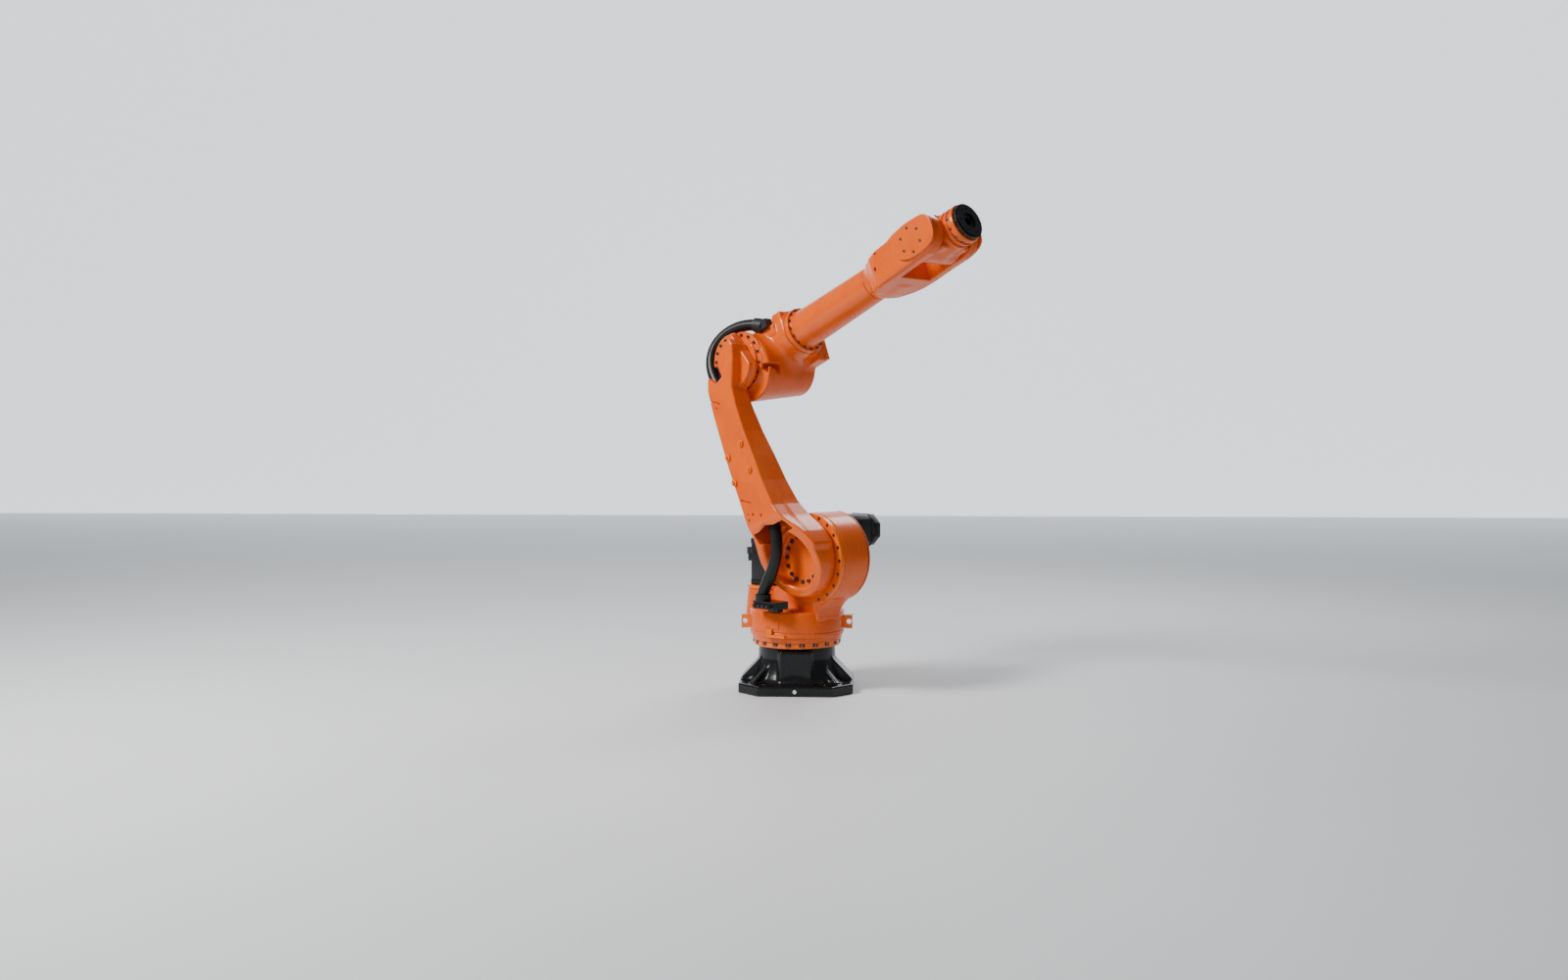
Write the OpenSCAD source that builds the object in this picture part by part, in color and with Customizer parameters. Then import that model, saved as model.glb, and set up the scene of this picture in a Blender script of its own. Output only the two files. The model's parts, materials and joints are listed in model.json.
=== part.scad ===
// Six-axis industrial robot arm on a cast floor base.
// Row frame: millimetres, +Z up, origin on the floor at the swing axis, +X out of the base's front.

/* [Reach] */
// Height of the shoulder axis above the floor
shoulder_h = 575; // [560:5:600]
// Shoulder axis forward of the swing axis
shoulder_x = 175; // [170:1:180]
// Shoulder axis to elbow axis
link_len = 890; // [870:5:920]
// Roll axis above the elbow axis
roll_offset = 50; // [45:1:55]
// Elbow axis to wrist axis, along the forearm
forearm_len = 1035; // [1000:5:1080]
// Wrist axis to tool face
tool_len = 185; // [180:1:190]

/* [Rest pose] */
// Swing of the column on the base
swing = 45; // [0:5:90]
// Lean of the link arm, back from upright
lean = 22; // [15:1:28]
// Rise of the forearm above level
rise = 21.6; // [10:0.1:30]

/* [Base] */
// Width of the square foot plate
base_w = 484; // [470:2:500]
// Cut taken off each corner of the foot plate
base_cut = 86; // [70:2:95]
// Thickness of the foot plate
plate_t = 42; // [38:1:48]
// Radius of the neck
neck_r = 165; // [160:1:168]
// Height of the base's top face
base_h = 190; // [185:1:195]
// Radius of each anchor bolt hole
anchor_r = 9; // [8:0.5:10]

/* [Column] */
// Radius of the turning column
column_r = 203; // [198:1:206]
// Height of the column's deck
deck_z = 345; // [335:1:350]
// Radius of the shoulder drum
drum_r = 190; // [186:1:194]

/* [Link arm] */
// Radius of the shoulder hub
hub_r = 160; // [155:1:165]
// Wall of the link arm casting
link_wall = 12; // [9:1:16]

/* [Forearm] */
// Radius of the elbow barrel where it meets the link arm
barrel_r = 124; // [120:1:126]
// Tube radius at the elbow
tube_r0 = 84; // [82:1:86]
// Tube radius at the wrist
tube_r1 = 72; // [68:1:76]
// Radius of the tool flange's backing disc
flange_r = 71; // [68:1:74]

/* [Hose] */
// Outer diameter of the energy supply hose
hose_d = 48; // [40:1:52]

/* [Hidden] */

eps = 0.4;          // clearance that keeps neighbouring curved faces apart
joint_gap = 2;      // visible seam between two parts that turn against each other
orange = [0.93, 0.36, 0.03];
black = [0.04, 0.045, 0.05];
steel = [0.6, 0.61, 0.63];
grey = [0.35, 0.36, 0.38];

base_wall = 16;
ring_z = base_h + joint_gap;      // underside of everything that swings
ring_top = 214;
seat_x = -150;                    // swing motor's axis in the column frame
seat_y = -22;
seat_z = 436;
motor_w = 142;
drum_y0 = -70;
drum_y1 = 72;
gear_ring_y = -88;                // outer face of the shoulder gear ring
shoulder_motor_z = 105;           // motor axis above the shoulder axis
link_y0 = -282;                   // outer face of the link arm
link_y1 = -152;                   // inner face of the link arm's beam
link_hub_y = gear_ring_y - joint_gap;
elbow_ring_y = -190;              // face of the elbow ring that meets the link arm
elbow_hub_r = 112;
barrel_y0 = -165;
barrel_y1 = 150;
barrel_r1 = 108;                  // radius of the barrel's far end
belly_r = 125;                    // radius of the barrel's lower belly
elbow_room_r = 161;               // space in the link arm that the elbow turns in
roll_face_x = 222;                // seam between elbow housing and forearm tube
rear_x = -140;                    // rear face of the elbow housing
wrist_seam_x = 690;               // seam between the tube and the wrist fork
crotch_x = 896;                   // bottom of the fork's slot
fork_in = 82;
fork_out = 130;
fork_hz = 80;
fork_tip = 38;                    // how far the fork's round ends sit past the wrist axis
body_half = 80;                   // half width of the wrist body
body_face = 166;                  // front face of the wrist body
tool_face_x = forearm_len + tool_len;

// ---- frames ----
module in_column() { rotate([0, 0, swing]) children(); }
module in_link() { in_column() translate([shoulder_x, 0, shoulder_h]) rotate([0, -lean, 0]) children(); }
module in_elbow() {
  in_column()
    translate([shoulder_x - link_len * sin(lean), 0, shoulder_h + link_len * cos(lean)])
      rotate([0, -rise, 0]) children();
}
module in_roll() { in_elbow() translate([0, 0, roll_offset]) children(); }
module in_wrist() { in_roll() translate([forearm_len, 0, 0]) children(); }

// ---- shapes used again ----
// A cylinder lying along Y from y0 to y1.
module along_y(r, y0, y1) { translate([0, y1, 0]) rotate([90, 0, 0]) cylinder(r = r, h = y1 - y0, $fn = 96); }
// A cone lying along Y.
module cone_y(r0, r1, y0, y1) {
  translate([0, y0, 0]) rotate([-90, 0, 0]) cylinder(r1 = r0, r2 = r1, h = y1 - y0, $fn = 96);
}
// A cylinder lying along X from x0 to x1.
module along_x(r, x0, x1) { translate([x0, 0, 0]) rotate([0, 90, 0]) cylinder(r = r, h = x1 - x0, $fn = 96); }
// A cone lying along X.
module cone_x(r0, r1, x0, x1) {
  translate([x0, 0, 0]) rotate([0, 90, 0]) cylinder(r1 = r0, r2 = r1, h = x1 - x0, $fn = 96);
}
// An outline drawn in X and Z, thick from y0 to y1.
module slab_y(y0, y1) { translate([0, y1, 0]) rotate([90, 0, 0]) linear_extrude(y1 - y0) children(); }
// n copies spread evenly on a circle about Z.
module around_z(n, r, first = 0) {
  for (i = [0:n - 1]) rotate([0, 0, first + i * 360 / n]) translate([r, 0, 0]) children();
}
// n copies spread evenly on a circle about Y; each copy's +Z points along -Y.
module around_y(n, r, y, first = 0) {
  for (i = [0:n - 1]) rotate([0, first + i * 360 / n, 0]) translate([r, y, 0]) rotate([90, 0, 0]) children();
}
// n copies spread evenly on a circle about X; each copy's +Z points along +X.
module around_x(n, r, x, first = 0) {
  for (i = [0:n - 1]) rotate([first + i * 360 / n, 0, 0]) translate([x, 0, r]) rotate([0, 90, 0]) children();
}
// A socket head screw standing on Z = 0, with its shank below.
module screw(r, head_h, shank) {
  difference() {
    cylinder(r = r, h = head_h, $fn = 32);
    translate([0, 0, head_h * 0.45]) cylinder(r = r * 0.5, h = head_h, $fn = 6);
  }
  translate([0, 0, -shank]) cylinder(r = r * 0.6, h = shank + 0.01, $fn = 24);
}
// The hole that a screw's shank drops into.
module screw_hole(r, shank) { translate([0, 0, -shank - 1]) cylinder(r = r * 0.6 + eps, h = shank + 2, $fn = 24); }
// A square servo motor body of width w along Z, with cut corners, standing on Z = 0.
module servo(w, len, shaft_r, shaft_len) {
  cut = w * 0.14;
  h = w / 2;
  linear_extrude(len * 0.72)
    polygon([[-h + cut, -h], [h - cut, -h], [h, -h + cut], [h, h - cut],
             [h - cut, h], [-h + cut, h], [-h, h - cut], [-h, -h + cut]]);
  translate([0, 0, len * 0.72]) cylinder(r = h * 0.94, h = len * 0.04, $fn = 64);
  translate([0, 0, len * 0.76])
    linear_extrude(len * 0.24)
      polygon([for (a = [22.5:45:360]) [cos(a), sin(a)] * h * 1.02]);
  if (shaft_len > 0) translate([0, 0, -shaft_len]) cylinder(r = shaft_r, h = shaft_len + 0.01, $fn = 48);
}

// ---- hose sweep ----
function bezier(p, t) = p[0] * pow(1 - t, 3) + 3 * p[1] * pow(1 - t, 2) * t
  + 3 * p[2] * (1 - t) * t * t + p[3] * pow(t, 3);
function unit(v) = v / norm(v);
function spin(p, a) = [p[0] * cos(a) - p[2] * sin(a), p[1], p[0] * sin(a) + p[2] * cos(a)];
// Link and elbow points in the column frame.
function link_at(p) = spin(p, lean) + [shoulder_x, 0, shoulder_h];
function elbow_at(p) = spin(p, rise) + link_at([0, 0, link_len]);
module sweep(path, r, sides = 12) {
  n = len(path);
  rings = [for (i = [0:n - 1])
    let (t = unit(path[min(i + 1, n - 1)] - path[max(i - 1, 0)]),
         u = unit(cross(t, [0.12, 1, 0.05])),
         v = cross(t, u))
    for (k = [0:sides - 1]) path[i] + r * (cos(k * 360 / sides) * u + sin(k * 360 / sides) * v)];
  faces = concat(
    [[for (k = [0:sides - 1]) k]],
    [for (i = [0:n - 2]) for (k = [0:sides - 1])
      let (a = i * sides + k, b = i * sides + (k + 1) % sides) [a, a + sides, b + sides, b]],
    [[for (k = [sides - 1:-1:0]) (n - 1) * sides + k]]);
  polyhedron(rings, faces, convexity = 6);
}
hose_steps = 26;
// Each hose stretch is one cubic curve, in the column frame.
hose_low = [[31, -222, 412], [31, -222, 470], link_at([-12, -222, -15]), link_at([-12, -222, 185])];
hose_mid = [link_at([-12, -222, 186]), link_at([-12, -222, 386]), link_at([-4, -222, 604]),
            link_at([-100, -222, 780])];
hose_end = [92, -116, 134];       // where the hose meets its fitting, in the elbow frame
hose_bend = [-62, -160, 222];     // control point before the fitting, in the elbow frame
hose_top = [link_at([-101, -222, 781]), link_at([-235, -238, 1010]), elbow_at(hose_bend), elbow_at(hose_end)];
hose_end_dir = hose_end - hose_bend;

// ---- base ----
function plate_outline(w, c) = let (h = w / 2)
  [[-h + c, -h], [h - c, -h], [h, -h + c], [h, h - c], [h - c, h], [-h + c, h], [-h, h - c], [-h, -h + c]];
anchor_at = [for (sx = [-1, 1]) for (sy = [-1, 1]) for (k = [0, 1]) k == 0 ? [sx * 205, sy * 140] : [sx * 140, sy * 205]];
module base_frame() {
  color(black) difference() {
    union() {
      linear_extrude(plate_t) polygon(plate_outline(base_w, base_cut));
      // skirt that spreads from the neck to the feet
      translate([0, 0, plate_t]) cylinder(r1 = 222, r2 = neck_r + 12, h = 66, $fn = 96);
      cylinder(r = neck_r, h = base_h, $fn = 96);
      // flat panels on the four sides of the neck
      for (a = [0:90:270]) rotate([0, 0, a]) translate([0, -70, 0]) cube([204, 140, 132]);
      // gussets that run out to the four feet
      for (a = [45:90:315]) rotate([0, 0, a]) rotate([90, 0, 0]) translate([0, 0, -26]) linear_extrude(52)
        polygon([[0, 0], [262, 0], [262, plate_t + 4], [neck_r, 128], [0, 128]]);
    }
    // open underneath, with a deck that carries the swing gear
    translate([0, 0, -1]) cylinder(r = neck_r - base_wall, h = 141, $fn = 96);
    cylinder(r = 110, h = base_h + 1, $fn = 96);
    for (p = anchor_at) translate([p[0], p[1], -1]) {
      cylinder(r = anchor_r, h = 200, $fn = 48);
      translate([0, 0, plate_t - 3]) cylinder(r = 21, h = 200, $fn = 48);
    }
    // flat seat and window behind the service panel
    translate([-300, -72, plate_t + 1]) cube([300 - 203.6, 144, 160]);
    translate([-260, -52, 50]) cube([110, 104, 66]);
    // seat of the front plug
    translate([base_w / 2 - 6, 0, 21]) rotate([0, 90, 0]) cylinder(r = 8 + eps, h = 20, $fn = 48);
  }
}
module base_service_panel() {
  color(grey) difference() {
    translate([-210, -68, 44]) cube([6 - eps, 136, 80]);
    for (y = [-30, 28]) translate([-220, y, 84]) rotate([0, 90, 0]) cylinder(r = 8, h = 30, $fn = 32);
  }
}
module power_connector() {
  color(black) {
    translate([-246, -56, 58]) cube([36, 50, 50]);
    translate([-210 - 0.01, -30, 84]) rotate([0, 90, 0]) cylinder(r = 8 - eps, h = 22, $fn = 32);
  }
}
module signal_connector() {
  color(black) {
    translate([-240, 8, 62]) cube([30, 42, 44]);
    translate([-210 - 0.01, 28, 84]) rotate([0, 90, 0]) cylinder(r = 8 - eps, h = 22, $fn = 32);
  }
}
module front_level_plug() {
  color("white") translate([base_w / 2 - 6, 0, 21]) rotate([0, 90, 0]) difference() {
    cylinder(r = 8, h = 7, $fn = 48);
    translate([0, 0, 3]) cylinder(r = 4, h = 10, $fn = 32);
  }
}
module swing_gear_unit() {
  color(steel) difference() {
    union() {
      translate([0, 0, 124]) cylinder(r = 110 - eps, h = base_h - 124, $fn = 96);
      translate([0, 0, 124]) cylinder(r = 132, h = 16 - eps, $fn = 96);
    }
    translate([0, 0, 100]) cylinder(r = 42, h = 120, $fn = 64);
  }
}
module swing_cable_tube() {
  color(steel) difference() {
    union() {
      translate([0, 0, 60]) cylinder(r = 36, h = 258, $fn = 64);
      translate([0, 0, 112]) cylinder(r = 60, h = 12 - eps, $fn = 64);
    }
    translate([0, 0, 50]) cylinder(r = 31, h = 300, $fn = 64);
  }
}

// ---- column ----
lug_angle = 45;
module column_frame() {
  color(orange) in_column() difference() {
    union() {
      translate([0, 0, ring_top]) cylinder(r = 194, h = 22, $fn = 96);
      translate([0, 0, 236]) cylinder(r = column_r, h = deck_z - 236, $fn = 96);
      // pedestal under the drum
      translate([-40, drum_y0, deck_z - 40]) cube([240, drum_y1 - drum_y0, shoulder_h - deck_z + 20]);
      // boss under the swing motor
      translate([seat_x, seat_y, deck_z - 10]) cylinder(r = 96, h = seat_z - 12 - deck_z + 10, $fn = 96);
      translate([shoulder_x, 0, shoulder_h]) along_y(drum_r, drum_y0, drum_y1);
    }
    // hollow inside
    translate([0, 0, ring_top + 18]) cylinder(r = column_r - 18, h = deck_z - 18 - ring_top - 18, $fn = 96);
    translate([0, 0, 200]) cylinder(r = 108, h = 60, $fn = 96);
    translate([-22, drum_y0 + 16, deck_z - 30]) cube([204, drum_y1 - drum_y0 - 32, shoulder_h - deck_z + 26]);
    translate([shoulder_x, 0, shoulder_h]) along_y(drum_r - 18, drum_y0 + 14, drum_y1 + 1);
    translate([shoulder_x, 0, shoulder_h]) along_y(128, drum_y0 - 1, 0);
    translate([seat_x, seat_y, deck_z - 30]) cylinder(r = 80, h = 200, $fn = 96);
    // screw holes
    translate([shoulder_x, 0, shoulder_h]) around_y(20, 176, drum_y0) screw_hole(7, 10);
    translate([0, 0, 0]) around_z(20, 168) translate([0, 0, ring_top + 19]) screw_hole(7, 34);
    for (a = [lug_angle, lug_angle + 180]) rotate([0, 0, a]) for (z = [268, 306])
      translate([column_r + 3.7, 0, z]) rotate([0, 90, 0]) screw_hole(6, 12);
  }
}
module column_base_ring() {
  color(orange) in_column() difference() {
    translate([0, 0, ring_z]) cylinder(r = 187, h = ring_top - ring_z - eps, $fn = 96);
    translate([0, 0, ring_z - 1]) cylinder(r = 100, h = 40, $fn = 96);
    around_z(20, 186) translate([0, 0, ring_z + 8]) cylinder(r = 12, h = 30, $fn = 32);
    around_z(20, 168) translate([0, 0, ring_z - 1]) cylinder(r = 7 * 0.6 + eps, h = 40, $fn = 24);
  }
}
module column_ring_bolts() {
  color(steel) in_column() around_z(20, 183.5) translate([0, 0, ring_z + 8]) cylinder(r = 7.5, h = ring_top - ring_z - 8.8, $fn = 6);
}
module column_lugs() {
  color(orange) in_column() for (a = [lug_angle, lug_angle + 180]) rotate([0, 0, a]) difference() {
    translate([column_r - 1, -20, 258]) cube([37, 40, 58]);
    cylinder(r = column_r + 0.5, h = 400, $fn = 96);
    translate([column_r + 22, -30, 287]) rotate([-90, 0, 0]) cylinder(r = 11, h = 60, $fn = 48);
    for (z = [268, 306]) translate([column_r + 3.7, 0, z]) rotate([0, 90, 0]) {
      screw_hole(6, 12);
      cylinder(r = 6 + eps, h = 60, $fn = 32);
    }
  }
}
module column_lug_bolts() {
  color(steel) in_column() for (a = [lug_angle, lug_angle + 180]) rotate([0, 0, a]) for (z = [268, 306])
    translate([column_r + 3.7, 0, z]) rotate([0, 90, 0]) screw(6, 8, 12);
}
stop_angle = -68;
module swing_stop_bracket() {
  color(orange) in_column() rotate([0, 0, stop_angle]) difference() {
    union() {
      translate([column_r - 2, -42, 240]) cube([14, 84, 12]);
      translate([column_r - 2, -42, 240]) cube([12, 24, 36]);
    }
    cylinder(r = column_r + 0.5, h = 400, $fn = 96);
  }
}
module swing_motor_seat() {
  color(orange) in_column() translate([seat_x, seat_y, seat_z - 12]) difference() {
    cylinder(r = 100, h = 12 - eps, $fn = 96);
    translate([0, 0, -1]) cylinder(r = 34, h = 20, $fn = 64);
  }
}
module swing_motor() {
  color(black) in_column() translate([seat_x, seat_y, seat_z]) servo(motor_w, 280, 16, 60);
}
module swing_motor_plugs() {
  color(grey) in_column() translate([seat_x - motor_w / 2, seat_y, seat_z]) for (y = [-32, 32])
    translate([-26, y, 128]) {
      cylinder(r = 15, h = 30, $fn = 48);
      translate([0, 0, -30]) cylinder(r = 10, h = 30.01, $fn = 48);
      translate([0, -9, 6]) cube([26 - eps, 18, 18]);
    }
}
module shoulder_gear_ring() {
  color(orange) in_column() translate([shoulder_x, 0, shoulder_h]) difference() {
    along_y(189, gear_ring_y, drum_y0 - eps);
    along_y(120, gear_ring_y - 1, drum_y0 + 1);
    around_y(20, 176, drum_y0 - 12) { screw_hole(7, 30); cylinder(r = 7 + eps, h = 30, $fn = 32); }
  }
}
module shoulder_ring_bolts() {
  color(steel) in_column() translate([shoulder_x, 0, shoulder_h]) around_y(20, 176, drum_y0 - 12) screw(7, 5.4, 20);
}
module shoulder_gear_unit() {
  color(steel) in_column() translate([shoulder_x, 0, shoulder_h]) difference() {
    union() {
      along_y(120 - eps, gear_ring_y + 0.5, drum_y0 + 1);
      along_y(126, drum_y0 + 0.5, 30);
    }
    along_y(30, gear_ring_y - 10, 60);
  }
}
module shoulder_drum_cover() {
  color(orange) in_column() translate([shoulder_x, 0, shoulder_h]) difference() {
    union() {
      along_y(drum_r - 2, drum_y1 + eps, drum_y1 + 6);
      cone_y(drum_r - 2, 174, drum_y1 + 6, drum_y1 + 16);
      translate([0, 0, shoulder_motor_z]) along_y(84, drum_y1 + 6, drum_y1 + 28);
    }
    translate([0, 0, shoulder_motor_z]) along_y(36, drum_y1 - 10, drum_y1 + 40);
    shoulder_cover_places() screw_hole(7, 30);
  }
}
module shoulder_cover_bolts() {
  color(steel) in_column() translate([shoulder_x, 0, shoulder_h]) shoulder_cover_places() screw(7, 7, 15);
}
// Nine screws round the cover's lower three quarters; the motor boss fills the rest.
module shoulder_cover_places() {
  for (a = [-35:31.25:215]) translate([160 * cos(a), drum_y1 + 16, -160 * sin(a)]) rotate([-90, 0, 0]) children();
}
module shoulder_motor() {
  color(black) in_column() translate([shoulder_x, drum_y1 + 28 + eps, shoulder_h + shoulder_motor_z])
    rotate([-90, 0, 0]) servo(motor_w, 167, 16, 60);
}
module shoulder_motor_plugs() {
  color(grey) in_column() translate([shoulder_x - motor_w / 2 - eps, drum_y1 + 90, shoulder_h + shoulder_motor_z])
    for (z = [-26, 26]) translate([0, 0, z]) rotate([0, -90, 0]) {
      cylinder(r = 15, h = 16, $fn = 48);
      cylinder(r = 11, h = 34, $fn = 48);
    }
}
// A black clamp box on the deck where the hose starts.
module hose_junction_box() {
  color(black) in_column() difference() {
    union() {
      translate([2, -252, 364]) cube([128, 82, 32]);
      translate([20, -184, deck_z + eps]) cube([60, 30, 19]);
      translate([31, -222, 395]) cylinder(r = 34, h = 27, $fn = 64);
    }
    translate([31, -222, 404]) cylinder(r = hose_d / 2 + 5, h = 40, $fn = 64);
  }
}
module hose_junction_plugs() {
  color(grey) in_column() for (i = [0:3]) translate([26 + i * 27, -252 - eps, 379]) rotate([90, 0, 0]) {
    cylinder(r = 10, h = 12, $fn = 6);
    cylinder(r = 7, h = 20, $fn = 32);
  }
}
module energy_hose_lower() {
  color(black) in_column() sweep([for (i = [0:hose_steps]) bezier(hose_low, i / hose_steps)], hose_d / 2);
}

// ---- link arm ----
function link_rear(z) = -150 + 47 * pow((z - 740) / 740, 2);
function link_front(z) = 20 + 165 * pow(max(0, 1 - z / 480), 1.8);
function link_outline(z0, z1, inset) = concat(
  [for (i = [0:24]) let (z = z0 + (z1 - z0) * i / 24) [link_front(z) - inset, z]],
  [for (i = [24:-1:0]) let (z = z0 + (z1 - z0) * i / 24) [link_rear(z) + inset, z]]);
module link_arm_frame() {
  color(orange) in_link() difference() {
    union() {
      slab_y(link_y0, link_y1) polygon(link_outline(30, 830, 0));
      along_y(hub_r, link_y0 + 22, link_hub_y);
      slab_y(-200, link_hub_y - 20) polygon(link_outline(20, 300, 12));
      // elbow end: round on the inside, a broad blade on the outside
      translate([0, 0, link_len]) along_y(elbow_hub_r + 6, -232, elbow_ring_y - joint_gap);
      slab_y(link_y0 + 20, -206) polygon(blade);
    }
    // room for the elbow barrel
    translate([0, 0, link_len]) along_y(elbow_room_r, elbow_ring_y - joint_gap, link_hub_y);
    // bowl of the shoulder hub, open to the outside along a slanted rim
    along_y(hub_r - 24, link_y0 - 1, -124);
    slab_y(link_y0 - 1, -164) polygon([[-88, 20], [-70, 120], [-20, 170], [40, 150], [100, 90], [120, 0]]);
    translate([-300, link_y0, 170]) rotate([23, 0, 0]) translate([0, -200, -500]) cube([600, 200, 500]);
    // hollow beam
    slab_y(link_y0 + link_wall, link_y1 - link_wall) polygon(link_outline(100, 706, link_wall));
    // rear slot at the top where the hose comes out
    slab_y(-252, -197) polygon([[-30, 690], [-30, 716], [-70, 800], [-90, 880], [-90, 912], [-190, 912], [-190, 720],
                                [-136, 690]]);
    // screw holes
    around_y(16, 96, -124) screw_hole(8, 30);
    elbow_bolt_places() screw_hole(7, 18);
    along_y(34, -160, -60);
  }
}
module link_hub_bolts() { color(steel) in_link() around_y(16, 96, -124) screw(8, 9, 20); }
// The upper rear part of the elbow disc's bolt circle; the blade covers the front.
module elbow_bolt_places() {
  translate([0, 0, link_len]) for (a = [-90:-22.5:-157.5]) rotate([0, a, 0])
    translate([98, -232, 0]) rotate([90, 0, 0]) children();
}
module link_elbow_bolts() { color(steel) in_link() elbow_bolt_places() screw(7, 8, 17); }
blade = [[22, 790], [45, 860], [72, 930], [62, 966], [34, 966], [16, 884], [-25, 838], [-85, 822],
         [-125, 868], [-149, 805], [-149, 780]];
// Small pads with screws along the outer face, for hose and tool lines.
boss_at = [[-118, 500], [-118, 385], [-18, 525], [-8, 405]];
module link_bosses() {
  color(orange) in_link() for (p = boss_at) translate([p[0], link_y0 - eps, p[1]]) rotate([90, 0, 0]) {
    cylinder(r = 15, h = 8, $fn = 48);
    translate([0, 0, 7.99]) cylinder(r = 8, h = 6, $fn = 6);
  }
}
// Two clamps inside the beam: one at the bowl's mouth, one below the rear slot.
module link_hose_clamps() {
  color(grey) in_link() for (c = [[-12, 190, 0], [-48, 648, -18]]) translate([c[0], -222, c[1]]) rotate([0, c[2], 0])
    difference() {
      union() {
        cylinder(r = 33, h = 16, $fn = 64);
        translate([-14, link_y0 + link_wall + 222 + 0.05, 0]) cube([28, 20, 16]);
      }
      translate([0, 0, -1]) cylinder(r = hose_d / 2 + 2, h = 30, $fn = 64);
    }
}
module energy_hose_middle() {
  color(black) in_column() sweep([for (i = [0:hose_steps]) bezier(hose_mid, i / hose_steps)], hose_d / 2);
}
module energy_hose_upper() {
  color(black) in_column() sweep([for (i = [0:hose_steps + 8]) bezier(hose_top, i / (hose_steps + 8))], hose_d / 2);
}

// ---- elbow ----
module elbow_housing() {
  color(orange) in_elbow() difference() {
    union() {
      along_y(barrel_r, barrel_y0, barrel_y0 + 30);
      cone_y(barrel_r, barrel_r1, barrel_y0 + 29.9, barrel_y1);
      // belly under the barrel
      translate([14, 0, -28]) cone_y(belly_r, 90, barrel_y0, 130);
      translate([0, 0, roll_offset]) along_x(112, rear_x, 120);
      translate([0, 0, roll_offset]) cone_x(118, 100, 60, roll_face_x);
      // square crown round the roll gear
      translate([158, -96, 60]) cube([60, 192, 88]);
    }
    along_y(barrel_r1 - 14, barrel_y0 + 14, barrel_y1 + 1);
    translate([14, 0, -28]) cone_y(belly_r - 16, 76, barrel_y0 + 14, 116);
    along_y(92, barrel_y0 - 1, 0);
    translate([0, 0, roll_offset]) along_x(86, rear_x - 1, roll_face_x + 1);
    translate([0, 0, roll_offset]) along_x(118, -300, rear_x);
    around_y(16, 116, barrel_y0) screw_hole(6, 20);
  }
}
module elbow_flange_ring() {
  color(orange) in_elbow() difference() {
    union() {
      along_y(106, elbow_ring_y, elbow_ring_y + 13);
      along_y(130, elbow_ring_y + 12, barrel_y0 - eps);
    }
    along_y(70, elbow_ring_y - 1, barrel_y0 + 1);
    around_y(16, 116, elbow_ring_y + 12) screw_hole(6, 30);
  }
}
module elbow_ring_bolts() { color(steel) in_elbow() around_y(16, 116, elbow_ring_y + 12) screw(6, 7, 26); }
module elbow_gear_unit() {
  color(steel) in_elbow() difference() {
    union() {
      along_y(70 - eps, elbow_ring_y + 1, barrel_y0 + 0.01);
      along_y(92 - eps, barrel_y0, -92);
    }
    along_y(18, -200, -60);
  }
}
module elbow_motor() {
  color(black) in_elbow() translate([0, 149, 0]) rotate([90, 0, 0]) servo(104, 40, 0, 0);
}
module elbow_end_cover() {
  color(orange) in_elbow() difference() {
    union() {
      along_y(barrel_r1 - 3, barrel_y1 + eps, barrel_y1 + 14);
      along_y(72, barrel_y1 + 13, barrel_y1 + 30);
    }
    elbow_cover_places() screw_hole(6, 20);
    along_y(58, barrel_y1 - 10, barrel_y1 + 20);
  }
}
module elbow_cover_places() {
  for (a = [18:36:342]) rotate([0, a, 0]) translate([96, barrel_y1 + 14, 0]) rotate([-90, 0, 0]) children();
}
module elbow_cover_bolts() { color(steel) in_elbow() elbow_cover_places() screw(6, 6, 13); }
module roll_gear_unit() {
  color(steel) in_roll() difference() {
    along_x(86 - eps, 130, roll_face_x - 0.5);
    along_x(34, 100, 300);
  }
}
module rear_motor_plate() {
  color(orange) in_roll() difference() {
    along_x(112, rear_x - 14, rear_x - eps);
    for (p = rear_motor_at) translate([0, p[0], p[1]]) along_x(26, rear_x - 30, rear_x + 10);
  }
}
rear_motor_at = [[-52, 34], [52, 34], [0, -60]];
rear_motor_w = 92;
module rear_motor(i) {
  color(black) in_roll() translate([rear_x - 14 - eps, rear_motor_at[i][0], rear_motor_at[i][1]])
    rotate([0, -90, 0]) servo(rear_motor_w, 116, 12, 40);
}
module roll_motor() { rear_motor(0); }
module wrist_motor() { rear_motor(1); }
module tool_motor() { rear_motor(2); }
module wrist_motor_plugs() {
  color(grey) in_roll() {
    for (y = [-52, 52]) translate([rear_x - 70, y, 34 + rear_motor_w / 2 + eps]) {
      cylinder(r = 13, h = 16, $fn = 48);
      translate([0, 0, 22]) rotate([0, 90, 0]) cylinder(r = 10, h = 40, $fn = 48);
      cylinder(r = 8, h = 20, $fn = 48);
    }
    translate([rear_x - 70, 0, -60 - rear_motor_w / 2 - 20]) cylinder(r = 13, h = 20 - eps, $fn = 48);
  }
}
module elbow_side_box() {
  color(orange) in_elbow() difference() {
    union() {
      translate([118, 74, -66]) cube([92, 62, 96]);
      for (z = [-52, 16]) translate([209.9, 120, z]) rotate([0, 90, 0]) cylinder(r = 9, h = 6, $fn = 6);
    }
    translate([0, 0, roll_offset]) cone_x(119, 101, 60, roll_face_x);
    translate([0, 0, roll_offset]) along_x(113, rear_x, 121);
    cone_y(barrel_r + 1, barrel_r1 + 1, barrel_y0 + 30, barrel_y1);
    translate([14, 0, -28]) cone_y(belly_r + 1, 91, barrel_y0, 130);
    translate([150, -97, 50]) cube([69, 194, 99]);
  }
}
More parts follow.
